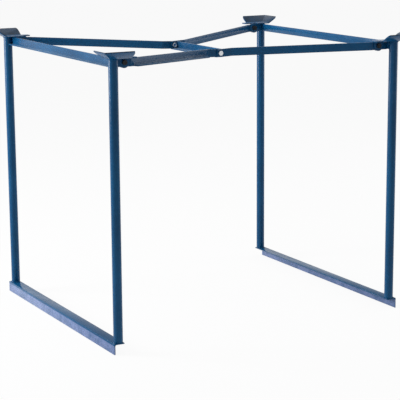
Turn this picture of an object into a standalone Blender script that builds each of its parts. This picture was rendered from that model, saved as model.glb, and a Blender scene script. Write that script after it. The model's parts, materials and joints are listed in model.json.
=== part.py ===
"""Folding steel stacking frame that stands on a 1200 x 1000 mm pallet.

Two upright side frames, each a base angle with two tube posts, a top rail and two flared
stacking corners, are joined near the top by four angle arms and a centre bar. Lifting the
centre bar folds the arms upwards and draws the side frames together. Metres, +Z up, +X along
the pallet's long side. The origin is on the ground line under the middle of the frame.
"""

import math

import bmesh
import bpy
from mathutils import Matrix, Vector

MM = 0.001

# Fit to the pallet
PALLET_LENGTH = 1200 * MM
PALLET_WIDTH = 1000 * MM
PALLET_CLEARANCE = 2 * MM
SEAT_GAP = 0.3 * MM

# Base angles
BASE_LEG = 40 * MM
BASE_WALL = 4 * MM
BASE_ROOT_RADIUS = 5 * MM
BASE_TOE_RADIUS = 2 * MM

# Posts
POST_DIAMETER = 33.7 * MM
POST_WALL = 2.6 * MM
POST_LENGTH = 998 * MM
POST_SIDES = 32

# Stacking corners
CORNER_WALL = 4 * MM
SEAT_REACH = 40 * MM
LIP_SPREAD = 39 * MM
LIP_RISE = 25 * MM
LIP_BEND_RADIUS = 7 * MM
LONG_LIP_EXTRA = 22 * MM
LIP_CORNER_RADIUS = 18 * MM
TONGUE_REACH = 88 * MM
TONGUE_CORNER_RADIUS = 8 * MM

# Top rails
RAIL_LEG = 30 * MM
RAIL_FLANGE = 20 * MM
RAIL_WALL = 3 * MM
RAIL_ROOT_RADIUS = 4 * MM
RAIL_TOE_RADIUS = 1.5 * MM

# Arms
ARM_HEIGHT = 30 * MM
ARM_LEG = 22 * MM
ARM_WALL = 4 * MM
ARM_ROOT_RADIUS = 3 * MM
ARM_STUB = 30 * MM
ARM_OUTER_TAB = 27 * MM
ARM_INNER_TAB = 50 * MM
ARM_KNEE_RADIUS = 9 * MM
FLANGE_SETBACK = 18 * MM
CENTRE_DROP = 22 * MM

# Outer pivots
PIVOT_INSET_X = 53 * MM
PIVOT_INSET_Y = 28 * MM
BRACKET_WALL = 4 * MM
BRACKET_RADIUS = 20 * MM
BRACKET_WEB_CLEARANCE = 1.2 * MM
SIDE_CLEARANCE = 0.5 * MM
STOP_CLEARANCE = 0.3 * MM
SWING_CLEARANCE = 1 * MM

# Centre bar
CENTRE_PIVOT_SPAN = 374 * MM
CENTRE_LEG = 30 * MM
CENTRE_WALL = 4 * MM
CENTRE_ROOT_RADIUS = 4 * MM
CENTRE_TOE_RADIUS = 1.5 * MM
CENTRE_AXIS_FROM_HEEL = 16 * MM
CENTRE_PLATE = 4 * MM

# Bolts
BOLT_DIAMETER = 10 * MM
BOLT_HEAD_FLATS = 17 * MM
BOLT_HEAD_HEIGHT = 6.4 * MM
BOLT_TAIL = 3 * MM
BOLT_BORE_CLEARANCE = 0.3 * MM
NUT_HEIGHT = 8 * MM
WASHER_DIAMETER = 20 * MM
WASHER_THICKNESS = 2 * MM
HEX_SIDES = 6
ROUND_SIDES = 24
ARC_STEPS = 5

# Mesh handling
JOIN_DISTANCE = 0.01 * MM
SMOOTH_ANGLE = math.radians(35)

PAINT_COLOUR = (0.013, 0.091, 0.262, 1.0)
PAINT_ROUGHNESS = 0.32
BLACK_COLOUR = (0.012, 0.014, 0.018, 1.0)
BLACK_ROUGHNESS = 0.45
ZINC_COLOUR = (0.68, 0.70, 0.70, 1.0)
ZINC_ROUGHNESS = 0.3

# Heights and places that follow from the sizes above
BASE_OUTER_X = PALLET_LENGTH / 2 + PALLET_CLEARANCE + BASE_WALL
POST_RADIUS = POST_DIAMETER / 2
POST_X = PALLET_LENGTH / 2 - POST_RADIUS - SEAT_GAP / 2
POST_Y = PALLET_WIDTH / 2 - POST_RADIUS - SEAT_GAP / 2
POST_BOTTOM_Z = BASE_LEG + SEAT_GAP
POST_TOP_Z = POST_BOTTOM_Z + POST_LENGTH
SEAT_Z = POST_TOP_Z + SEAT_GAP
PIVOT_X = POST_X - PIVOT_INSET_X
PIVOT_Y = POST_Y - PIVOT_INSET_Y
ARM_LENGTH = math.hypot(PIVOT_X, CENTRE_DROP)
DROOP = math.asin(CENTRE_DROP / ARM_LENGTH)
STUB_RISE = ARM_STUB * math.sin(DROOP) + ARM_HEIGHT / 2 * math.cos(DROOP)
PIVOT_Z = SEAT_Z - STOP_CLEARANCE - STUB_RISE
CENTRE_Z = PIVOT_Z - CENTRE_DROP
CENTRE_Y = CENTRE_PIVOT_SPAN / 2
TAB_OFFSET = (ARM_WALL + SIDE_CLEARANCE) / 2
BORE_RADIUS = BOLT_DIAMETER / 2 + BOLT_BORE_CLEARANCE

LEFT, RIGHT = -1, 1
FRONT, REAR = -1, 1
SIDE_NAME = {LEFT: "left", RIGHT: "right"}
END_NAME = {FRONT: "front", REAR: "rear"}


# Scene helpers

def clear_scene():
    for old in list(bpy.data.objects):
        bpy.data.objects.remove(old, do_unlink=True)


def make_collection(name):
    collection = bpy.data.collections.new(name)
    bpy.context.scene.collection.children.link(collection)
    return collection


def make_material(name, colour, roughness, metallic):
    material = bpy.data.materials.new(name)
    material.use_nodes = True
    shader = material.node_tree.nodes["Principled BSDF"]
    shader.inputs["Base Color"].default_value = colour
    shader.inputs["Roughness"].default_value = roughness
    shader.inputs["Metallic"].default_value = metallic
    material.diffuse_color = colour
    return material


def make_empty(name, location):
    empty = bpy.data.objects.new(name, None)
    empty.location = location
    PARTS.objects.link(empty)
    return empty


def finish_part(part, material, frame, location, smooth=False):
    """Give a part its material and put it at a world place under its frame's empty."""
    part.data.materials.clear()
    part.data.materials.append(material)
    part.parent = frame
    part.location = Vector(location) - frame.location
    if smooth:
        part.data.shade_smooth()
        part.data.set_sharp_from_angle(angle=SMOOTH_ANGLE)
    PARTS.objects.link(part)
    return part


def add_boolean(part, tool, operation):
    """Let the tool, which stands where the part stands, cut, join or limit the part."""
    tool.hide_render = True
    tool.display_type = "WIRE"
    tool.parent = part.parent
    CUTTERS.objects.link(tool)
    boolean = part.modifiers.new(operation.lower(), "BOOLEAN")
    boolean.operation = operation
    boolean.solver = "EXACT"
    boolean.object = tool


# Outlines

def circle_outline(radius, sides, centre=(0.0, 0.0)):
    turn = 2 * math.pi / sides
    return [
        (centre[0] + radius * math.cos(turn * i), centre[1] + radius * math.sin(turn * i))
        for i in range(sides)
    ]


def arc_points(centre, radius, start, end, steps=ARC_STEPS):
    return [
        (
            centre[0] + radius * math.cos(start + (end - start) * i / steps),
            centre[1] + radius * math.sin(start + (end - start) * i / steps),
        )
        for i in range(steps + 1)
    ]


def hexagon_outline(flats):
    return circle_outline(flats / 2 / math.cos(math.pi / HEX_SIDES), HEX_SIDES)


def angle_outline(leg_x, leg_y, wall, root_radius, toe_radius):
    """L section with its heel at the origin and its legs along +X and +Y."""
    quarter = math.pi / 2
    points = [(0.0, 0.0), (leg_x, 0.0)]
    points += arc_points((leg_x - toe_radius, wall - toe_radius), toe_radius, 0.0, quarter, 3)
    root_centre = (wall + root_radius, wall + root_radius)
    points += arc_points(root_centre, root_radius, 3 * quarter, 2 * quarter)
    points += arc_points((wall - toe_radius, leg_y - toe_radius), toe_radius, 0.0, quarter, 3)
    points.append((0.0, leg_y))
    return points


def bent_path(points, radius):
    """A polyline whose inner corners are rounded by arcs."""
    path = [Vector(points[0])]
    for before, corner, after in zip(points, points[1:], points[2:]):
        corner = Vector(corner)
        arrive = (corner - Vector(before)).normalized()
        leave = (Vector(after) - corner).normalized()
        turn = arrive.angle(leave)
        setback = radius * math.tan(turn / 2)
        hand = 1.0 if arrive.x * leave.y - arrive.y * leave.x > 0 else -1.0
        start = corner - arrive * setback
        centre = start + Vector((-arrive.y, arrive.x)) * hand * radius
        for i in range(ARC_STEPS + 1):
            swing = Matrix.Rotation(hand * turn * i / ARC_STEPS, 2)
            path.append(centre + swing @ (start - centre))
    path.append(Vector(points[-1]))
    return path


def strip_outline(points, thickness, radius):
    """Outline of a bent strip of even thickness about a centre line."""
    path = bent_path(points, radius)
    near, far = [], []
    for i, point in enumerate(path):
        before = path[max(i - 1, 0)]
        after = path[min(i + 1, len(path) - 1)]
        along = (after - before).normalized()
        normal = Vector((-along.y, along.x))
        first = (path[min(i + 1, len(path) - 1)] - point) if i == 0 else (point - before)
        miter = 1.0 / max(first.normalized().dot(along), 0.5)
        near.append(tuple(point + normal * thickness / 2 * miter))
        far.append(tuple(point - normal * thickness / 2 * miter))
    return far + near[::-1]


# Solids

def prism(name, loops, depth, placing):
    """Straight extrusion of a flat outline, with further loops as holes, about its mid-plane."""
    curve = bpy.data.curves.new(name + "_outline", "CURVE")
    curve.dimensions = "2D"
    curve.fill_mode = "BOTH"
    curve.extrude = depth / 2
    for loop in loops:
        spline = curve.splines.new("POLY")
        spline.points.add(len(loop) - 1)
        for point, (x, y) in zip(spline.points, loop):
            point.co = (x, y, 0.0, 1.0)
        spline.use_cyclic_u = True
    guide = bpy.data.objects.new(name + "_guide", curve)
    bpy.context.scene.collection.objects.link(guide)
    evaluated = guide.evaluated_get(bpy.context.evaluated_depsgraph_get())
    mesh = bpy.data.meshes.new_from_object(evaluated)
    bpy.data.objects.remove(guide, do_unlink=True)
    bpy.data.curves.remove(curve)
    mesh.name = name
    shape = bmesh.new()
    shape.from_mesh(mesh)
    bmesh.ops.remove_doubles(shape, verts=shape.verts, dist=JOIN_DISTANCE)
    bmesh.ops.transform(shape, matrix=placing, verts=shape.verts)
    bmesh.ops.recalc_face_normals(shape, faces=shape.faces)
    shape.to_mesh(mesh)
    shape.free()
    return bpy.data.objects.new(name, mesh)


def axes_matrix(x_axis, y_axis, z_axis, origin=(0.0, 0.0, 0.0)):
    """Matrix that takes the outline's own axes to the given directions."""
    matrix = Matrix((x_axis, y_axis, z_axis)).transposed().to_4x4()
    matrix.translation = Vector(origin)
    return matrix


def side_view(shift_y=0.0):
    """Outline X stays X, outline Y becomes height, and the extrusion runs along Y."""
    return axes_matrix((1, 0, 0), (0, 0, 1), (0, -1, 0), (0, shift_y, 0))


def tube(name, outer_radius, wall, length, sides):
    """Open tube standing on its origin, turned from its wall's section."""
    inner_radius = outer_radius - wall
    section = [(outer_radius, length), (outer_radius, 0.0), (inner_radius, 0.0), (inner_radius, length)]
    mesh = bpy.data.meshes.new(name)
    edges = [(i, (i + 1) % len(section)) for i in range(len(section))]
    mesh.from_pydata([(radius, 0.0, height) for radius, height in section], edges, [])
    part = bpy.data.objects.new(name, mesh)
    screw = part.modifiers.new("turn", "SCREW")
    screw.steps = sides
    screw.render_steps = sides
    screw.use_smooth_shade = True
    screw.use_merge_vertices = True
    screw.merge_threshold = JOIN_DISTANCE
    return part


# Side frames

def build_base_angle(side, frame):
    name = SIDE_NAME[side] + "_base_angle"
    outline = angle_outline(BASE_LEG, BASE_LEG, BASE_WALL, BASE_ROOT_RADIUS, BASE_TOE_RADIUS)
    placing = axes_matrix((-side, 0, 0), (0, 0, -1), (0, 1, 0))
    part = prism(name, [outline], PALLET_WIDTH, placing)
    finish_part(part, PAINT, frame, (side * BASE_OUTER_X, 0, BASE_LEG))


def build_post(side, end, frame):
    name = "{}_{}_post".format(SIDE_NAME[side], END_NAME[end])
    part = tube(name, POST_RADIUS, POST_WALL, POST_LENGTH, POST_SIDES)
    finish_part(part, PAINT, frame, (side * POST_X, end * POST_Y, POST_BOTTOM_Z))


def build_top_rail(side, frame):
    """Angle rail coped round the two posts, its flange at the bottom and outwards."""
    name = SIDE_NAME[side] + "_top_rail"
    outline = angle_outline(RAIL_FLANGE, RAIL_LEG, RAIL_WALL, RAIL_ROOT_RADIUS, RAIL_TOE_RADIUS)
    placing = axes_matrix((side, 0, 0), (0, 0, 1), (0, 1, 0))
    heel_x = side * (POST_X - RAIL_LEG / 2)
    heel_z = SEAT_Z - SEAT_GAP - RAIL_LEG
    part = prism(name, [outline], 2 * POST_Y, placing)
    finish_part(part, PAINT, frame, (heel_x, 0, heel_z))
    for end in (FRONT, REAR):
        cope = circle_outline(POST_RADIUS + SEAT_GAP, POST_SIDES)
        tool = prism(name + "_cope", [cope], 3 * RAIL_LEG, Matrix.Identity(4))
        tool.location = Vector((side * POST_X, end * POST_Y, heel_z)) - frame.location
        add_boolean(part, tool, "DIFFERENCE")


def build_stacking_corner(side, end, frame):
    """Seat plate on the post with two flared lips, mirrored about the corner's diagonal."""
    name = "{}_{}_stacking_corner".format(SIDE_NAME[side], END_NAME[end])
    middle = CORNER_WALL / 2
    lip_foot = POST_RADIUS
    past_tongue = TONGUE_REACH + CORNER_WALL
    past_corner = lip_foot + LIP_SPREAD + CORNER_WALL
    section = strip_outline(
        [(-past_tongue, middle), (lip_foot, middle), (lip_foot + LIP_SPREAD, middle + LIP_RISE)],
        CORNER_WALL,
        LIP_BEND_RADIUS,
    )
    run = past_tongue + past_corner
    half = math.sqrt(0.5)
    placing = axes_matrix(
        (half, half, 0),
        (0, 0, 1),
        (half, -half, 0),
        Vector((half, -half, 0)) * (past_corner - past_tongue) / 2,
    )
    part = prism(name, [section], run, placing)
    mirror = part.modifiers.new("other_lip", "MIRROR")
    mirror.use_axis = (False, True, False)
    mirror.use_bisect_axis = (False, True, False)
    mirror.merge_threshold = JOIN_DISTANCE
    finish_part(part, PAINT, frame, (side * POST_X, end * POST_Y, SEAT_Z))
    part.rotation_euler.z = math.atan2(end, side)
    limit = prism(name + "_plan", [corner_plan(side, end)], 4 * LIP_RISE, Matrix.Identity(4))
    limit.location = part.location
    add_boolean(part, limit, "INTERSECT")


def corner_plan(side, end):
    """The corner seen from above: rounded lips, and a tongue inwards outside the bracket."""
    bracket_face = PIVOT_INSET_Y - ARM_WALL / 2 - SIDE_CLEARANCE - BRACKET_WALL
    tongue_near = SIDE_CLEARANCE - bracket_face
    tongue_far = POST_RADIUS - CORNER_WALL / 2
    past = POST_RADIUS + LIP_SPREAD + CORNER_WALL
    lip = LIP_CORNER_RADIUS
    tip = TONGUE_CORNER_RADIUS
    quarter = math.pi / 2
    outline = [(-SEAT_REACH, -SEAT_REACH)]
    outline += arc_points((past - lip, lip - SEAT_REACH), lip, -quarter, 0.0)
    outline.append((past, past))
    long_end = -SEAT_REACH - LONG_LIP_EXTRA
    outline += arc_points((long_end + lip, past - lip), lip, quarter, 2 * quarter)
    outline.append((long_end, tongue_far))
    outline += arc_points((tip - TONGUE_REACH, tongue_far - tip), tip, quarter, 2 * quarter)
    outline += arc_points((tip - TONGUE_REACH, tongue_near + tip), tip, 2 * quarter, 3 * quarter)
    outline.append((-SEAT_REACH, tongue_near))
    return [(side * x, end * y) for x, y in outline]


def build_pivot_bracket(side, end, frame):
    """Two rounded cheeks and a back web, cut from one bent plate under the seat."""
    name = "{}_{}_pivot_bracket".format(SIDE_NAME[side], END_NAME[end])
    inner_gap = ARM_WALL + 2 * SIDE_CLEARANCE
    half_width = inner_gap / 2 + BRACKET_WALL
    stub_corner = math.hypot(ARM_STUB, ARM_HEIGHT / 2)
    web_near = stub_corner + BRACKET_WEB_CLEARANCE
    web_far = web_near + BRACKET_WALL * 3 / 4
    top = SEAT_Z - SEAT_GAP - PIVOT_Z
    seat_edge = PIVOT_INSET_X - SEAT_REACH
    bottom = -ARM_HEIGHT / 2
    shoulder = seat_edge - SWING_CLEARANCE
    start = math.atan2(math.sqrt(BRACKET_RADIUS**2 - shoulder**2), shoulder)
    finish = 2 * math.pi + math.asin(bottom / BRACKET_RADIUS)
    round_nose = arc_points((0, 0), BRACKET_RADIUS, start, finish, 3 * ARC_STEPS)
    profile = [(shoulder, top)] + round_nose + [(web_far, bottom), (web_far, top)]
    profile = [(side * u, w) for u, w in profile]
    bore = circle_outline(BORE_RADIUS, ROUND_SIDES)
    channel = [
        (-BRACKET_RADIUS * 2, -half_width),
        (web_far, -half_width),
        (web_far, half_width),
        (-BRACKET_RADIUS * 2, half_width),
        (-BRACKET_RADIUS * 2, inner_gap / 2),
        (web_near, inner_gap / 2),
        (web_near, -inner_gap / 2),
        (-BRACKET_RADIUS * 2, -inner_gap / 2),
    ]
    channel = [(side * u, v) for u, v in channel]
    place = (side * PIVOT_X, end * PIVOT_Y, PIVOT_Z)
    part = prism(name, [channel], 4 * BRACKET_RADIUS, Matrix.Identity(4))
    finish_part(part, PAINT, frame, place)
    tool = prism(name + "_profile", [profile, bore], 4 * half_width, side_view())
    tool.location = part.location
    add_boolean(part, tool, "INTERSECT")


# Arms

def build_arm(side, end, tab_side, flange_side, frame):
    """Angle arm with flat bent ends. tab_side and flange_side are -1 to the front, +1 to the rear."""
    name = "arm_{}_{}".format(END_NAME[end], SIDE_NAME[side])
    inner_y = end * CENTRE_Y + tab_side * TAB_OFFSET
    shift = inner_y - end * PIVOT_Y
    inboard = -side
    knee_out = Vector((inboard * ARM_OUTER_TAB, 0.0))
    knee_in = Vector((inboard * (ARM_LENGTH - ARM_INNER_TAB), shift))
    centre_line = [
        (-inboard * ARM_STUB, 0.0),
        tuple(knee_out),
        tuple(knee_in),
        (inboard * (ARM_LENGTH + ARM_HEIGHT), shift),
    ]
    plan = strip_outline(centre_line, ARM_WALL, ARM_KNEE_RADIUS)
    half_height = ARM_HEIGHT / 2
    quarter = math.pi / 2
    profile = [(-ARM_STUB, half_height), (-ARM_STUB, -half_height)]
    profile += arc_points((ARM_LENGTH, 0), half_height, -quarter, quarter, 2 * ARC_STEPS)
    profile = [(inboard * u, w) for u, w in profile]
    bores = [circle_outline(BORE_RADIUS, ROUND_SIDES, (inboard * u, 0)) for u in (0.0, ARM_LENGTH)]
    place = (side * PIVOT_X, end * PIVOT_Y, PIVOT_Z)
    part = prism(name, [plan], 3 * ARM_HEIGHT, Matrix.Identity(4))
    finish_part(part, PAINT, frame, place)
    part.rotation_euler.y = inboard * DROOP
    limit = prism(name + "_profile", [profile] + bores, 3 * PIVOT_Y, side_view())

    run = knee_in - knee_out
    along = run.normalized()
    across = Vector((-along.y, along.x))
    if across.y * flange_side < 0:
        across = -across
    length = run.length - 2 * FLANGE_SETBACK
    centre = (knee_out + knee_in) / 2
    section = flange_section()
    placing = axes_matrix(
        (across.x, across.y, 0), (0, 0, 1), (along.x, along.y, 0), (centre.x, centre.y, -half_height)
    )
    flange = prism(name + "_flange", [section], length, placing)
    for tool, operation in ((limit, "INTERSECT"), (flange, "UNION")):
        tool.location = part.location
        tool.rotation_euler = part.rotation_euler
        add_boolean(part, tool, operation)


def flange_section():
    """Bottom flange with its root fillet, from the middle of the web outwards."""
    quarter = math.pi / 2
    web_face = ARM_WALL / 2
    tip = ARM_LEG - web_face
    root = (web_face + ARM_ROOT_RADIUS, ARM_WALL + ARM_ROOT_RADIUS)
    points = [(0.0, 0.0), (tip, 0.0), (tip, ARM_WALL)]
    points += arc_points(root, ARM_ROOT_RADIUS, 3 * quarter, 2 * quarter)
    points.append((0.0, ARM_WALL + ARM_ROOT_RADIUS))
    return points


# Centre bar and fasteners

def plate_inner_faces():
    """Faces of the two end plates that the bolts' heads or nuts meet, front then rear."""
    stack = ARM_WALL + 1.5 * SIDE_CLEARANCE + CENTRE_PLATE
    return -CENTRE_Y + stack, CENTRE_Y - stack


def build_centre_bar(frame):
    """Angle bar, web to the right and flange to the left, with a drilled plate across each end."""
    front_face, rear_face = plate_inner_faces()
    outline = angle_outline(CENTRE_LEG, CENTRE_LEG, CENTRE_WALL, CENTRE_ROOT_RADIUS, CENTRE_TOE_RADIUS)
    heel = -CENTRE_AXIS_FROM_HEEL
    far = heel + CENTRE_LEG
    length = rear_face - front_face
    placing = axes_matrix((-1, 0, 0), (0, 0, 1), (0, 1, 0), (-heel, 0, heel))
    part = prism("centre_bar", [outline], length + CENTRE_PLATE, placing)
    finish_part(part, PAINT, frame, (0, 0, CENTRE_Z))
    square = [(-heel, heel), (-heel, far), (-far, far), (-far, heel)]
    bore = circle_outline(BORE_RADIUS, ROUND_SIDES)
    for face, sign in ((front_face, FRONT), (rear_face, REAR)):
        middle = side_view(face + sign * CENTRE_PLATE / 2)
        plate = prism("centre_plate", [square, bore], CENTRE_PLATE, middle)
        plate.location = part.location
        add_boolean(part, plate, "UNION")


def build_fastener(name, x, z, head_face, nut_face, direction, frame, finish):
    """Bolt along Y with its head outside head_face, and a washer and nut outside nut_face."""
    head_y = head_face - direction * (SEAT_GAP + BOLT_HEAD_HEIGHT / 2)
    washer_y = nut_face + direction * (SEAT_GAP + WASHER_THICKNESS / 2)
    nut_y = washer_y + direction * (WASHER_THICKNESS / 2 + SEAT_GAP + NUT_HEIGHT / 2)
    tail_y = nut_y + direction * (NUT_HEIGHT / 2 + BOLT_TAIL)
    place = Vector((x, 0, z))

    head = prism(name + "_bolt", [hexagon_outline(BOLT_HEAD_FLATS)], BOLT_HEAD_HEIGHT, side_view())
    finish_part(head, finish, frame, place + Vector((0, head_y, 0)), smooth=True)
    shank_start = head_y
    shank_length = abs(tail_y - shank_start)
    shank_outline = circle_outline(BOLT_DIAMETER / 2, ROUND_SIDES)
    shank = prism(name + "_shank", [shank_outline], shank_length, side_view((tail_y - head_y) / 2))
    shank.location = head.location
    add_boolean(head, shank, "UNION")

    bore = circle_outline(BORE_RADIUS, ROUND_SIDES)
    washer_rim = circle_outline(WASHER_DIAMETER / 2, ROUND_SIDES)
    washer = prism(name + "_washer", [washer_rim, bore], WASHER_THICKNESS, side_view())
    finish_part(washer, finish, frame, place + Vector((0, washer_y, 0)), smooth=True)
    nut = prism(name + "_nut", [hexagon_outline(BOLT_HEAD_FLATS), bore], NUT_HEIGHT, side_view())
    finish_part(nut, finish, frame, place + Vector((0, nut_y, 0)), smooth=True)


def build_outer_fastener(side, end, frame):
    """Bolt head on the outer cheek, nut on the inner one."""
    name = "{}_{}_pivot".format(SIDE_NAME[side], END_NAME[end])
    half_width = ARM_WALL / 2 + SIDE_CLEARANCE + BRACKET_WALL
    middle = end * PIVOT_Y
    outer_face = middle + end * half_width
    inner_face = middle - end * half_width
    build_fastener(name, side * PIVOT_X, PIVOT_Z, outer_face, inner_face, -end, frame, BLACK)


def build_centre_fasteners(frame):
    """Both bolts have their heads to the front."""
    front_face, rear_face = plate_inner_faces()
    reach = ARM_WALL + SIDE_CLEARANCE / 2
    build_fastener("centre_front", 0, CENTRE_Z, -CENTRE_Y - reach, front_face, 1, frame, ZINC)
    build_fastener("centre_rear", 0, CENTRE_Z, rear_face, CENTRE_Y + reach, 1, frame, ZINC)


def build_side_frame(side):
    frame = make_empty(SIDE_NAME[side] + "_frame", (side * PIVOT_X, 0, PIVOT_Z))
    build_base_angle(side, frame)
    build_top_rail(side, frame)
    for end in (FRONT, REAR):
        build_post(side, end, frame)
        build_stacking_corner(side, end, frame)
        build_pivot_bracket(side, end, frame)
        build_outer_fastener(side, end, frame)
    return frame


clear_scene()
PARTS = make_collection("pallet_collar")
CUTTERS = make_collection("cutters")
PAINT = make_material("blue_paint", PAINT_COLOUR, PAINT_ROUGHNESS, 0.0)
ZINC = make_material("zinc", ZINC_COLOUR, ZINC_ROUGHNESS, 1.0)
BLACK = make_material("black_steel", BLACK_COLOUR, BLACK_ROUGHNESS, 0.0)

FRAMES = {side: build_side_frame(side) for side in (LEFT, RIGHT)}
CENTRE_FRAME = make_empty("centre_frame", (0, 0, CENTRE_Z))
build_centre_bar(CENTRE_FRAME)
build_centre_fasteners(CENTRE_FRAME)
build_arm(LEFT, REAR, -1, 1, FRAMES[LEFT])
build_arm(RIGHT, REAR, 1, 1, FRAMES[RIGHT])
build_arm(LEFT, FRONT, 1, -1, FRAMES[LEFT])
build_arm(RIGHT, FRONT, -1, 1, FRAMES[RIGHT])
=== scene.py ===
import json
import math

import bmesh
import bpy
from mathutils import Matrix, Vector


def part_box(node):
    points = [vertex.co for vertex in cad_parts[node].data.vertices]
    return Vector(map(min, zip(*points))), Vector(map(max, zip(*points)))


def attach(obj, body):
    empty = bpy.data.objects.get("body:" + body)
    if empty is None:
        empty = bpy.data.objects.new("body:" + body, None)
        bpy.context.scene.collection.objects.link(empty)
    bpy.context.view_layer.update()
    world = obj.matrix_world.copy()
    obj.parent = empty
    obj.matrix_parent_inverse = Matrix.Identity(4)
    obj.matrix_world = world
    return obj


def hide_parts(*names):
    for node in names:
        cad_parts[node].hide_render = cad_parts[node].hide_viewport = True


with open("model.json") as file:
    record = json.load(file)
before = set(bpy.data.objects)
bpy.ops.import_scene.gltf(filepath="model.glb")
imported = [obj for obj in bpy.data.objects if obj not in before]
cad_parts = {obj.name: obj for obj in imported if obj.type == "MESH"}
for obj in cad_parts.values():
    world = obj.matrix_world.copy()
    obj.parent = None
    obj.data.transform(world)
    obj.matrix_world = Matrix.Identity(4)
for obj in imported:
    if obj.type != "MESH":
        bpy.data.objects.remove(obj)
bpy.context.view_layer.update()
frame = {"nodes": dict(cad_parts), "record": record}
NODES = frame["nodes"]
RECORD = frame["record"]

MM = 0.001

# Camera, fitted to the post feet and the corner tops
CAMERA_PLACE = Vector((-2.692, -4.945, 1.569))
CAMERA_AZIMUTH = math.radians(28.682)
CAMERA_PITCH = math.radians(11.692)
CAMERA_ROLL = math.radians(-0.40107)
SENSOR_WIDTH = 36.0
FOCAL_PIXELS = 1458.2
FRAME_PIXELS = 400
CLIP_START = 0.05
CLIP_END = 200.0

# Paint
PAINT_DARK = (0.004, 0.066, 0.170)
PAINT_LIGHT = (0.006, 0.092, 0.225)
PAINT_SCUFFED = (0.030, 0.150, 0.320)
# Pale lavender in noise patches on every face below 31 mm
FLANGE_PALE = (0.210, 0.270, 0.480)
PALE_BELOW = 31 * MM
PALE_FADE = 3 * MM
# Painted highlight: lighter blue on the upward flange faces of the top cross and rails
SHELF_HIGHLIGHT = (0.210, 0.310, 0.440)
SHELF_ABOVE = 900 * MM
SHELF_BELOW = 1020 * MM
# Painted shade: near-black on the inner faces of the stacking corners' lips
LIP_SHADE = (0.004, 0.022, 0.050)
LIP_ABOVE = 1043.5 * MM
PAINT_SPECULAR = 0.15

# How far up a face has to turn to count, from none to full
SHELF_TURN = (0.80, 0.95)
LIP_TURN = (0.2, 0.5)

# Noises: scale per metre, octaves, roughness
PAINT_TONE = (5.0, 3.0, 0.55)
PAINT_SCUFF = (55.0, 6.0, 0.70)
FLANGE_PATCHES = (26.0, 6.0, 0.65)
SHELF_HIGHLIGHT_NOISE = (34.0, 5.0, 0.60)
LIP_SHADE_NOISE = (40.0, 5.0, 0.60)
PAINT_GLOSS = (24.0, 5.0, 0.55)
PAINT_PEEL = (620.0, 2.0, 0.55)
ZINC_GLOSS = (300.0, 4.0, 0.55)
ZINC_GRAIN = (900.0, 3.0, 0.55)
BLACK_TONE = (180.0, 5.0, 0.55)
BLACK_GLOSS = (260.0, 4.0, 0.55)
BLACK_GRAIN = (1100.0, 3.0, 0.55)

# Ranges: a noise's low and high end, and what it becomes there
SCUFF_RANGE = (0.60, 0.74, 0.0, 0.30)
PATCH_RANGE = (0.30, 0.60, 0.35, 0.85)
LIP_SHADE_RANGE = (0.30, 0.65, 0.45, 0.95)
PAINT_GLOSS_RANGE = (0.3, 0.7, 0.20, 0.32)
ZINC_GLOSS_RANGE = (0.3, 0.7, 0.18, 0.38)
BLACK_GLOSS_RANGE = (0.3, 0.7, 0.35, 0.55)

# Ends: where a ramp's first and last tones lie
PAINT_TONE_ENDS = (0.3, 0.7)
ZINC_TONE_ENDS = (0.0, 0.8)
BLACK_TONE_ENDS = (0.35, 0.7)

# Bumps: strength, depth
PEEL_BUMP = (0.10, 0.2 * MM)
ZINC_BUMP = (0.08, 0.1 * MM)
BLACK_BUMP = (0.10, 0.1 * MM)

# Fasteners
ZINC_DARK = (0.50, 0.53, 0.56)
ZINC_LIGHT = (0.80, 0.82, 0.84)
SPANGLE_SCALE = 420.0
BLACK_DARK = (0.008, 0.009, 0.012)
BLACK_LIGHT = (0.025, 0.027, 0.032)
BLACK_SPECULAR = 0.20
HEX_FLATS = 17 * MM
HEAD_HEIGHT = 6.4 * MM
NUT_HEIGHT = 8 * MM
BOLT_RADIUS = 5 * MM
BORE_RADIUS = 5.3 * MM
THREAD_PITCH = 1.5 * MM
THREAD_DEPTH = 0.7 * MM
THREAD_LENGTH = 16 * MM
THREAD_ROWS = 8
TIP_TAPER = 0.8
FACE_RADIUS = 0.94 * HEX_FLATS / 2
DISH_RADIUS = 0.82 * FACE_RADIUS
DISH_FLOOR_RADIUS = 0.75 * FACE_RADIUS
DISH_DEPTH = 0.35 * MM
HEAD_COLLAR = 0.4 * MM
BORE_CHAMFER = 0.5 * MM
CHAMFER_SLOPE = math.tan(math.radians(30))
RIM_SIDES = 48

# Edges and welds
EDGE_ROUND = 1.2 * MM
SMOOTH_ANGLE = math.radians(35)
JOIN_DISTANCE = 0.01 * MM
ROUND_SEGMENTS = 2
BEAD_RADIUS = 2.3 * MM
BEAD_STEP = 0.7 * MM
BEAD_RIPPLE = 2.2 * MM
BEAD_SIDES = 8
ARC_STEPS = 40
BEAD_THIN = 0.88
BEAD_SWELL = 0.16
BEAD_TIP = 0.35
BEAD_OFFSET = 0.6 * MM
SHELF_BEAD_OFFSET = 0.5 * MM
NEARLY_UPRIGHT = 0.99
FOOT_BEAD_BACK = 40
FOOT_BEAD_ON = 140
ROUND_BEAD_END = 359
POST_RADIUS = 16.85 * MM
BEAD_RING = POST_RADIUS + BEAD_OFFSET
RAIL_WALL = 3 * MM
SEAT_REACH = 40 * MM
CENTRE_WALL = 4 * MM

# Stage
FLOOR_COLOUR = (0.93, 0.935, 0.94, 1.0)
FLOOR_RADIUS = 40.0
FLOOR_SIDES = 64
FLOOR_ROUGHNESS = 0.9
FLOOR_GLOW = 0.93
WORLD_LIGHT = 0.24

# Lamps: name, place, target, width, watts
LAMPS = (
    ("key_left", (-4.0, 2.0, 2.0), (0, 0, 0.6), 2.0, 200.0),
    ("top_soft", (-1.2, 0.6, 4.4), (0, 0, 0), 3.0, 45.0),
    ("fill_right", (4.2, -0.4, 1.8), (0, 0, 0.5), 2.6, 45.0),
)


# Node helpers

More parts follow.
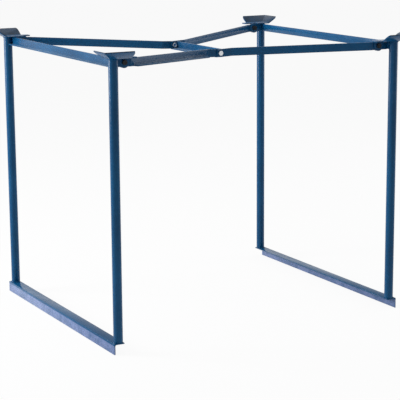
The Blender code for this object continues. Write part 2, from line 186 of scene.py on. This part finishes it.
def new_material(name):
    material = bpy.data.materials.new(name)
    material.use_nodes = True
    tree = material.node_tree
    shader = tree.nodes["Principled BSDF"]
    return material, tree, shader


def node(tree, kind, **inputs):
    made = tree.nodes.new(kind)
    for name, value in inputs.items():
        made.inputs[name].default_value = value
    return made


def noise(tree, vector, recipe):
    scale, detail, roughness = recipe
    made = node(tree, "ShaderNodeTexNoise", Scale=scale, Detail=detail, Roughness=roughness)
    tree.links.new(vector, made.inputs["Vector"])
    return made.outputs["Fac"]


def ramp(tree, factor, ends, first, last):
    made = tree.nodes.new("ShaderNodeValToRGB")
    for stop, position, colour in zip(made.color_ramp.elements, ends, (first, last)):
        stop.position = position
        stop.color = (*colour, 1.0)
    tree.links.new(factor, made.inputs["Fac"])
    return made.outputs["Color"]


def map_range(tree, value, low_in, high_in, low_out, high_out):
    made = tree.nodes.new("ShaderNodeMapRange")
    settings = (("From Min", low_in), ("From Max", high_in), ("To Min", low_out), ("To Max", high_out))
    for name, number in settings:
        made.inputs[name].default_value = number
    tree.links.new(value, made.inputs["Value"])
    return made.outputs["Result"]


def mix_colour(tree, factor, first, second):
    made = tree.nodes.new("ShaderNodeMix")
    made.data_type = "RGBA"
    tree.links.new(factor, made.inputs["Factor"])
    for socket, value in (("A", first), ("B", second)):
        target = [s for s in made.inputs if s.name == socket and s.type == "RGBA"][0]
        if isinstance(value, tuple):
            target.default_value = (*value, 1.0)
        else:
            tree.links.new(value, target)
    return [s for s in made.outputs if s.type == "RGBA"][0]


def math_node(tree, operation, first, second):
    made = tree.nodes.new("ShaderNodeMath")
    made.operation = operation
    for socket, value in zip(made.inputs, (first, second)):
        if isinstance(value, float):
            socket.default_value = value
        else:
            tree.links.new(value, socket)
    return made.outputs["Value"]


def bump(tree, height, strength, distance):
    made = node(tree, "ShaderNodeBump", Strength=strength, Distance=distance)
    tree.links.new(height, made.inputs["Height"])
    return made.outputs["Normal"]


# Materials

def upward_share(tree, low, high):
    """0 where the surface's own normal rises less than low, 1 where it rises more than high."""
    facing = tree.nodes.new("ShaderNodeSeparateXYZ")
    tree.links.new(tree.nodes.new("ShaderNodeTexCoord").outputs["Normal"], facing.inputs["Vector"])
    return map_range(tree, facing.outputs["Z"], low, high, 0.0, 1.0)


def upward_shelf(tree, height):
    """1 on the level upper faces of the flanges in the top cross and rails, where the painted highlight
    goes, 0 elsewhere.
    """
    upward = upward_share(tree, *SHELF_TURN)
    above = math_node(tree, "GREATER_THAN", height, SHELF_ABOVE)
    below = math_node(tree, "LESS_THAN", height, SHELF_BELOW)
    return math_node(tree, "MULTIPLY", upward, math_node(tree, "MULTIPLY", above, below))


def lip_face(tree, height):
    """1 on the inner faces of the stacking corners' lips, where painted shade goes, 0 elsewhere."""
    above = math_node(tree, "GREATER_THAN", height, LIP_ABOVE)
    return math_node(tree, "MULTIPLY", above, upward_share(tree, *LIP_TURN))


def paint_material():
    """Blue paint: uneven tone, orange peel, scuffs, pale lavender patches low on the flanges, a painted
    highlight on upward flange faces and painted shade on the lips' inner faces.
    """
    material, tree, shader = new_material("blue_paint")
    place = tree.nodes.new("ShaderNodeTexCoord").outputs["Object"]
    tone = ramp(tree, noise(tree, place, PAINT_TONE), PAINT_TONE_ENDS, PAINT_DARK, PAINT_LIGHT)
    scuff = map_range(tree, noise(tree, place, PAINT_SCUFF), *SCUFF_RANGE)
    scuffed = mix_colour(tree, scuff, tone, PAINT_SCUFFED)

    split = tree.nodes.new("ShaderNodeSeparateXYZ")
    tree.links.new(place, split.inputs["Vector"])
    # Pale lavender in noise patches on every face below 31 mm, fading out over 3 mm
    low = map_range(tree, split.outputs["Z"], PALE_BELOW, PALE_BELOW + PALE_FADE, 1.0, 0.0)
    patches = map_range(tree, noise(tree, place, FLANGE_PATCHES), *PATCH_RANGE)
    lower_pale = math_node(tree, "MULTIPLY", low, patches)
    hung = mix_colour(tree, lower_pale, scuffed, FLANGE_PALE)
    # Painted highlight: lighter blue on upward flange faces between 900 and 1020 mm, in noise patches
    shelf = upward_shelf(tree, split.outputs["Z"])
    highlight_patches = map_range(tree, noise(tree, place, SHELF_HIGHLIGHT_NOISE), *PATCH_RANGE)
    shelf_highlight = math_node(tree, "MULTIPLY", shelf, highlight_patches)
    highlighted = mix_colour(tree, shelf_highlight, hung, SHELF_HIGHLIGHT)
    # Painted shade: near-black on the lips' inner faces, in noise patches
    lip_shade_patches = map_range(tree, noise(tree, place, LIP_SHADE_NOISE), *LIP_SHADE_RANGE)
    lip_shade = math_node(tree, "MULTIPLY", lip_face(tree, split.outputs["Z"]), lip_shade_patches)
    tree.links.new(mix_colour(tree, lip_shade, highlighted, LIP_SHADE), shader.inputs["Base Color"])

    gloss = map_range(tree, noise(tree, place, PAINT_GLOSS), *PAINT_GLOSS_RANGE)
    tree.links.new(gloss, shader.inputs["Roughness"])
    peel = noise(tree, place, PAINT_PEEL)
    tree.links.new(bump(tree, peel, *PEEL_BUMP), shader.inputs["Normal"])
    shader.inputs["Specular IOR Level"].default_value = PAINT_SPECULAR
    return material


def zinc_material():
    """Bright zinc plate with a fine spangle."""
    material, tree, shader = new_material("bright_zinc")
    place = tree.nodes.new("ShaderNodeTexCoord").outputs["Object"]
    spangle = node(tree, "ShaderNodeTexVoronoi", Scale=SPANGLE_SCALE)
    tree.links.new(place, spangle.inputs["Vector"])
    tone = ramp(tree, spangle.outputs["Distance"], ZINC_TONE_ENDS, ZINC_LIGHT, ZINC_DARK)
    tree.links.new(tone, shader.inputs["Base Color"])
    gloss = map_range(tree, noise(tree, place, ZINC_GLOSS), *ZINC_GLOSS_RANGE)
    tree.links.new(gloss, shader.inputs["Roughness"])
    grain = noise(tree, place, ZINC_GRAIN)
    tree.links.new(bump(tree, grain, *ZINC_BUMP), shader.inputs["Normal"])
    shader.inputs["Metallic"].default_value = 1.0
    return material


def black_material():
    """Near-black coating, a little lighter in random patches."""
    material, tree, shader = new_material("black_steel")
    place = tree.nodes.new("ShaderNodeTexCoord").outputs["Object"]
    tone = ramp(tree, noise(tree, place, BLACK_TONE), BLACK_TONE_ENDS, BLACK_DARK, BLACK_LIGHT)
    tree.links.new(tone, shader.inputs["Base Color"])
    gloss = map_range(tree, noise(tree, place, BLACK_GLOSS), *BLACK_GLOSS_RANGE)
    tree.links.new(gloss, shader.inputs["Roughness"])
    grain = noise(tree, place, BLACK_GRAIN)
    tree.links.new(bump(tree, grain, *BLACK_BUMP), shader.inputs["Normal"])
    shader.inputs["Specular IOR Level"].default_value = BLACK_SPECULAR
    return material


# CAD nodes

def dress_node(name, material):
    """Material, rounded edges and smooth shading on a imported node."""
    part = NODES[name]
    part.data.materials.clear()
    part.data.materials.append(material)
    part.data.shade_smooth()
    part.data.set_sharp_from_angle(angle=SMOOTH_ANGLE)
    weld = part.modifiers.new("join", "WELD")
    weld.merge_threshold = JOIN_DISTANCE
    rounding = part.modifiers.new("rounding", "BEVEL")
    rounding.width = EDGE_ROUND
    rounding.segments = ROUND_SEGMENTS
    rounding.limit_method = "ANGLE"
    rounding.angle_limit = SMOOTH_ANGLE
    rounding.use_clamp_overlap = True


def dress_nodes(finishes):
    for entry in RECORD["subparts"]:
        dress_node(entry["node"], finishes[entry["material_slot"]])


# Added pieces

def body_of(name):
    return next(body for body, nodes in RECORD["behaviour"]["bodies"].items() if name in nodes)


def slot_of(name):
    return next(entry["material_slot"] for entry in RECORD["subparts"] if entry["node"] == name)


def add_skin(shape, rings, closed=False):
    """Quads between rings of points, with flat caps unless the rings run in a loop."""
    rows = [[shape.verts.new(point) for point in ring] for ring in rings]
    sides = len(rows[0])
    pairs = list(zip(rows, rows[1:]))
    if closed:
        pairs.append((rows[-1], rows[0]))
    for near, far in pairs:
        for i in range(sides):
            k = (i + 1) % sides
            shape.faces.new((near[i], near[k], far[k], far[i]))
    if not closed:
        shape.faces.new(rows[0][::-1])
        shape.faces.new(rows[-1])


def add_piece(name, shape, material, body):
    """Object from a finished bmesh, riding on a CAD body."""
    bmesh.ops.recalc_face_normals(shape, faces=shape.faces)
    mesh = bpy.data.meshes.new(name)
    shape.to_mesh(mesh)
    shape.free()
    mesh.materials.append(material)
    mesh.shade_smooth()
    mesh.set_sharp_from_angle(angle=SMOOTH_ANGLE)
    piece = bpy.data.objects.new(name, mesh)
    bpy.context.scene.collection.objects.link(piece)
    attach(piece, body)
    return piece


# Bolts and nuts

def hex_reach(turn):
    """Distance from the axis to the hexagon's rim, its corners at multiples of 60 degrees."""
    sixth = math.pi / 3
    return HEX_FLATS / 2 / math.cos((turn % sixth) - sixth / 2)


def hex_ring(height, chamfer=0):
    """Ring on the hexagon's rim, its corners raised by a chamfer of 1 or lowered by one of -1."""
    ring = []
    for i in range(RIM_SIDES):
        turn = 2 * math.pi * i / RIM_SIDES
        reach = hex_reach(turn)
        level = height + chamfer * (reach - FACE_RADIUS) * CHAMFER_SLOPE
        ring.append((reach * math.cos(turn), reach * math.sin(turn), level))
    return ring


def round_ring(radius, height):
    turns = [2 * math.pi * i / RIM_SIDES for i in range(RIM_SIDES)]
    return [(radius * math.cos(turn), radius * math.sin(turn), height) for turn in turns]


def thread_rings(start, length):
    """Rings of a single-start thread with a tapered tip."""
    rows = int(length / THREAD_PITCH * THREAD_ROWS)
    rings = []
    for k in range(rows + 1):
        height = start + length * k / rows
        taper = max(0.0, height - (start + length - THREAD_PITCH)) * TIP_TAPER
        ring = []
        for i in range(RIM_SIDES):
            turn = 2 * math.pi * i / RIM_SIDES
            phase = (height / THREAD_PITCH - i / RIM_SIDES) % 1.0
            radius = BOLT_RADIUS - THREAD_DEPTH * abs(2 * phase - 1) - taper
            ring.append((radius * math.cos(turn), radius * math.sin(turn), height))
        rings.append(ring)
    return rings


def bolt_shape(length):
    """Hexagon bolt along +Z: its head's outer face at 0, its tail's end at the length."""
    shape = bmesh.new()
    head = [
        round_ring(DISH_FLOOR_RADIUS, DISH_DEPTH),
        round_ring(DISH_RADIUS, 0.0),
        round_ring(FACE_RADIUS, 0.0),
        hex_ring(0.0, 1),
        hex_ring(HEAD_HEIGHT - HEAD_COLLAR),
        round_ring(FACE_RADIUS, HEAD_HEIGHT - HEAD_COLLAR),
        round_ring(FACE_RADIUS, HEAD_HEIGHT),
        round_ring(BOLT_RADIUS, HEAD_HEIGHT),
    ]
    add_skin(shape, head + thread_rings(length - THREAD_LENGTH, THREAD_LENGTH))
    return shape


def nut_shape():
    """Hexagon nut along +Z from 0 to its height, chamfered on both faces and in its bore."""
    shape = bmesh.new()
    mouth = BORE_RADIUS + BORE_CHAMFER
    add_skin(shape, [
        round_ring(BORE_RADIUS, BORE_CHAMFER),
        round_ring(mouth, 0.0),
        round_ring(FACE_RADIUS, 0.0),
        hex_ring(0.0, 1),
        hex_ring(NUT_HEIGHT, -1),
        round_ring(FACE_RADIUS, NUT_HEIGHT),
        round_ring(mouth, NUT_HEIGHT),
        round_ring(BORE_RADIUS, NUT_HEIGHT - BORE_CHAMFER),
    ], closed=True)
    return shape


def place_on_axis(shape, box, direction):
    """Turn a shape made along +Z on to the Y axis of a CAD box, starting at the box's head side."""
    low, high = box
    start = low[1] if direction > 0 else high[1]
    turn = Matrix(((1, 0, 0), (0, 0, direction), (0, -direction, 0))).to_4x4()
    turn.translation = Vector(((low[0] + high[0]) / 2, start, (low[2] + high[2]) / 2))
    bmesh.ops.transform(shape, matrix=turn, verts=shape.verts)


def build_fasteners(finishes):
    """Chamfered, threaded bolts and nuts in the places of the plain CAD ones."""
    for name in sorted(NODES):
        if not name.endswith(("_bolt", "_nut")):
            continue
        direction = -1 if "_rear_pivot" in name else 1
        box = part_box(name)
        if name.endswith("_bolt"):
            shape = bolt_shape(box[1][1] - box[0][1])
        else:
            shape = nut_shape()
        place_on_axis(shape, box, direction)
        slot = slot_of(name)
        piece = add_piece(name + "_fine", shape, finishes[slot], body_of(name))
        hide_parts(name)


# Welds

def resample(points, step):
    """Points at an even step along a polyline."""
    path = [Vector(points[0])]
    for start, stop in zip(points, points[1:]):
        start, stop = Vector(start), Vector(stop)
        count = max(1, round((stop - start).length / step))
        path += [start.lerp(stop, (i + 1) / count) for i in range(count)]
    return path


def add_bead(shape, points):
    """Rippled weld bead along a polyline, its ends drawn in."""
    path = resample(points, BEAD_STEP)
    rings = []
    for i, point in enumerate(path):
        along = (path[min(i + 1, len(path) - 1)] - path[max(i - 1, 0)]).normalized()
        side = along.orthogonal().normalized()
        if abs(along.z) < NEARLY_UPRIGHT:
            side = along.cross(Vector((0, 0, 1))).normalized()
        up = side.cross(along)
        phase = (i * BEAD_STEP / BEAD_RIPPLE) % 1.0
        edge = min(i, len(path) - 1 - i) * BEAD_STEP / BEAD_RADIUS
        swell = BEAD_THIN + BEAD_SWELL * phase
        radius = BEAD_RADIUS * swell * min(1.0, BEAD_TIP + (1 - BEAD_TIP) * edge)
        turns = [2 * math.pi * k / BEAD_SIDES for k in range(BEAD_SIDES)]
        rings.append([point + (side * math.cos(t) + up * math.sin(t)) * radius for t in turns])
    add_skin(shape, rings)


def arc(centre, radius, height, start, end):
    """Level arc of points; angles in degrees."""
    turns = [math.radians(start + (end - start) * i / ARC_STEPS) for i in range(ARC_STEPS + 1)]
    return [(centre[0] + radius * math.cos(t), centre[1] + radius * math.sin(t), height) for t in turns]


def weld_post(shape, side, end, centre, low, high):
    """Beads half round a post's foot and all round its top."""
    outward = 0 if side > 0 else 180
    hand = -side * end
    bounds = (outward - hand * FOOT_BEAD_BACK, outward + hand * FOOT_BEAD_ON)
    add_bead(shape, arc(centre, BEAD_RING, low[2] + BEAD_OFFSET, *bounds))
    add_bead(shape, arc(centre, BEAD_RING, high[2] - BEAD_OFFSET, 0, ROUND_BEAD_END))


def weld_rail_end(shape, side, end, centre, rail):
    """Beads on a rail's shelf and up its inner face, where they meet the post."""
    low, high = rail
    inner, toe = (low[0], high[0]) if side > 0 else (high[0], low[0])
    web = inner + side * RAIL_WALL
    bounds = [
        -end * math.degrees(math.acos((x - centre[0]) / BEAD_RING))
        for x in (web, toe - side * BEAD_RADIUS)
    ]
    shelf = low[2] + RAIL_WALL
    add_bead(shape, arc(centre, BEAD_RING, shelf + SHELF_BEAD_OFFSET, *bounds))
    across = inner - centre[0]
    seam = centre[1] - end * math.sqrt(BEAD_RING * BEAD_RING - across * across)
    add_bead(shape, [
        (inner, seam, low[2] + BEAD_RADIUS),
        (inner, seam, high[2] - BEAD_RADIUS),
    ])


def weld_bracket(shape, side, end, centre, bracket, seat):
    """Bead along a bracket's inner cheek, under the seat plate."""
    low, high = bracket
    cheek = low[1] if end > 0 else high[1]
    back = high[0] if side > 0 else low[0]
    plate_edge = centre[0] - side * SEAT_REACH
    add_bead(shape, [
        (plate_edge + side * BEAD_RADIUS, cheek, seat - BEAD_OFFSET),
        (back - side * BEAD_RADIUS, cheek, seat - BEAD_OFFSET),
    ])


def weld_side_frame(side_name, side, paint):
    """Beads at the posts, the rail's ends and the brackets of one side frame."""
    shape = bmesh.new()
    for end_name, end in (("front", -1), ("rear", 1)):
        corner = "{}_{}_".format(side_name, end_name)
        low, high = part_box(corner + "post")
        centre = ((low[0] + high[0]) / 2, (low[1] + high[1]) / 2)
        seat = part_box(corner + "stacking_corner")[0][2]
        weld_post(shape, side, end, centre, low, high)
        weld_rail_end(shape, side, end, centre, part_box(side_name + "_top_rail"))
        weld_bracket(shape, side, end, centre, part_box(corner + "pivot_bracket"), seat)
    add_piece(side_name + "_frame_welds", shape, paint, side_name + "_frame")


def weld_centre_bar(paint):
    """Beads where the bar's web and flange meet its end plates."""
    shape = bmesh.new()
    low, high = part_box("centre_bar")
    web_face = high[0] - CENTRE_WALL
    shelf = low[2] + CENTRE_WALL
    for face in (low[1] + CENTRE_WALL, high[1] - CENTRE_WALL):
        add_bead(shape, [
            (web_face, face, shelf + BEAD_RADIUS),
            (web_face, face, high[2] - BEAD_RADIUS),
        ])
        add_bead(shape, [
            (low[0] + BEAD_RADIUS, face, shelf),
            (web_face - BEAD_RADIUS, face, shelf),
        ])
    add_piece("centre_bar_welds", shape, paint, "centre_bar")


# Stage

def build_floor():
    mesh = bpy.data.meshes.new("floor")
    shape = bmesh.new()
    bmesh.ops.create_circle(shape, cap_ends=True, radius=FLOOR_RADIUS, segments=FLOOR_SIDES)
    shape.to_mesh(mesh)
    shape.free()
    floor = bpy.data.objects.new("floor", mesh)
    bpy.context.scene.collection.objects.link(floor)
    material, tree, shader = new_material("floor_white")
    shader.inputs["Base Color"].default_value = FLOOR_COLOUR
    shader.inputs["Roughness"].default_value = FLOOR_ROUGHNESS
    shader.inputs["Specular IOR Level"].default_value = 0.0
    glow = node(tree, "ShaderNodeEmission", Color=(1.0, 1.0, 1.0, 1.0), Strength=1.0)
    rays = tree.nodes.new("ShaderNodeLightPath").outputs
    seen = math_node(tree, "MAXIMUM", rays["Is Camera Ray"], rays["Is Glossy Ray"])
    share = math_node(tree, "MULTIPLY", seen, FLOOR_GLOW)
    blend = tree.nodes.new("ShaderNodeMixShader")
    tree.links.new(share, blend.inputs["Fac"])
    tree.links.new(shader.outputs["BSDF"], blend.inputs[1])
    tree.links.new(glow.outputs["Emission"], blend.inputs[2])
    tree.links.new(blend.outputs["Shader"], tree.nodes["Material Output"].inputs["Surface"])
    mesh.materials.append(material)


def build_world():
    world = bpy.data.worlds.new("studio")
    bpy.context.scene.world = world
    world.use_nodes = True
    tree = world.node_tree
    background = tree.nodes["Background"]
    background.inputs["Color"].default_value = (1.0, 1.0, 1.0, 1.0)
    rays = tree.nodes.new("ShaderNodeLightPath").outputs
    seen = math_node(tree, "MAXIMUM", rays["Is Camera Ray"], rays["Is Glossy Ray"])
    seen = math_node(tree, "MAXIMUM", seen, rays["Is Transmission Ray"])
    strength = map_range(tree, seen, 0.0, 1.0, WORLD_LIGHT, 1.0)
    tree.links.new(strength, background.inputs["Strength"])


def add_lamp(name, place, target, width, power):
    data = bpy.data.lights.new(name, "AREA")
    data.shape = "SQUARE"
    data.size = width
    data.energy = power
    lamp = bpy.data.objects.new(name, data)
    bpy.context.scene.collection.objects.link(lamp)
    lamp.location = place
    lamp.rotation_mode = "QUATERNION"
    lamp.rotation_quaternion = (Vector(target) - Vector(place)).to_track_quat("-Z", "Y")


def build_lamps():
    for lamp in LAMPS:
        add_lamp(*lamp)


def build_camera():
    """Camera from its fitted place, bearing, pitch and roll."""
    data = bpy.data.cameras.new("camera")
    data.sensor_width = SENSOR_WIDTH
    data.lens = FOCAL_PIXELS * SENSOR_WIDTH / FRAME_PIXELS
    data.clip_start = CLIP_START
    data.clip_end = CLIP_END
    camera = bpy.data.objects.new("camera", data)
    bpy.context.scene.collection.objects.link(camera)
    turn = Matrix.Rotation(-CAMERA_AZIMUTH, 4, "Z")
    tilt = Matrix.Rotation(math.pi / 2 - CAMERA_PITCH, 4, "X")
    roll = Matrix.Rotation(CAMERA_ROLL, 4, "Z")
    camera.matrix_world = Matrix.Translation(CAMERA_PLACE) @ turn @ tilt @ roll
    bpy.context.scene.camera = camera


def set_view():
    bpy.context.scene.view_settings.view_transform = "Standard"


set_view()
build_camera()
build_floor()
build_world()
build_lamps()
FINISHES = {"paint": paint_material(), "zinc": zinc_material(), "black": black_material()}
dress_nodes(FINISHES)
build_fasteners(FINISHES)
weld_side_frame("left", -1, FINISHES["paint"])
weld_side_frame("right", 1, FINISHES["paint"])
weld_centre_bar(FINISHES["paint"])
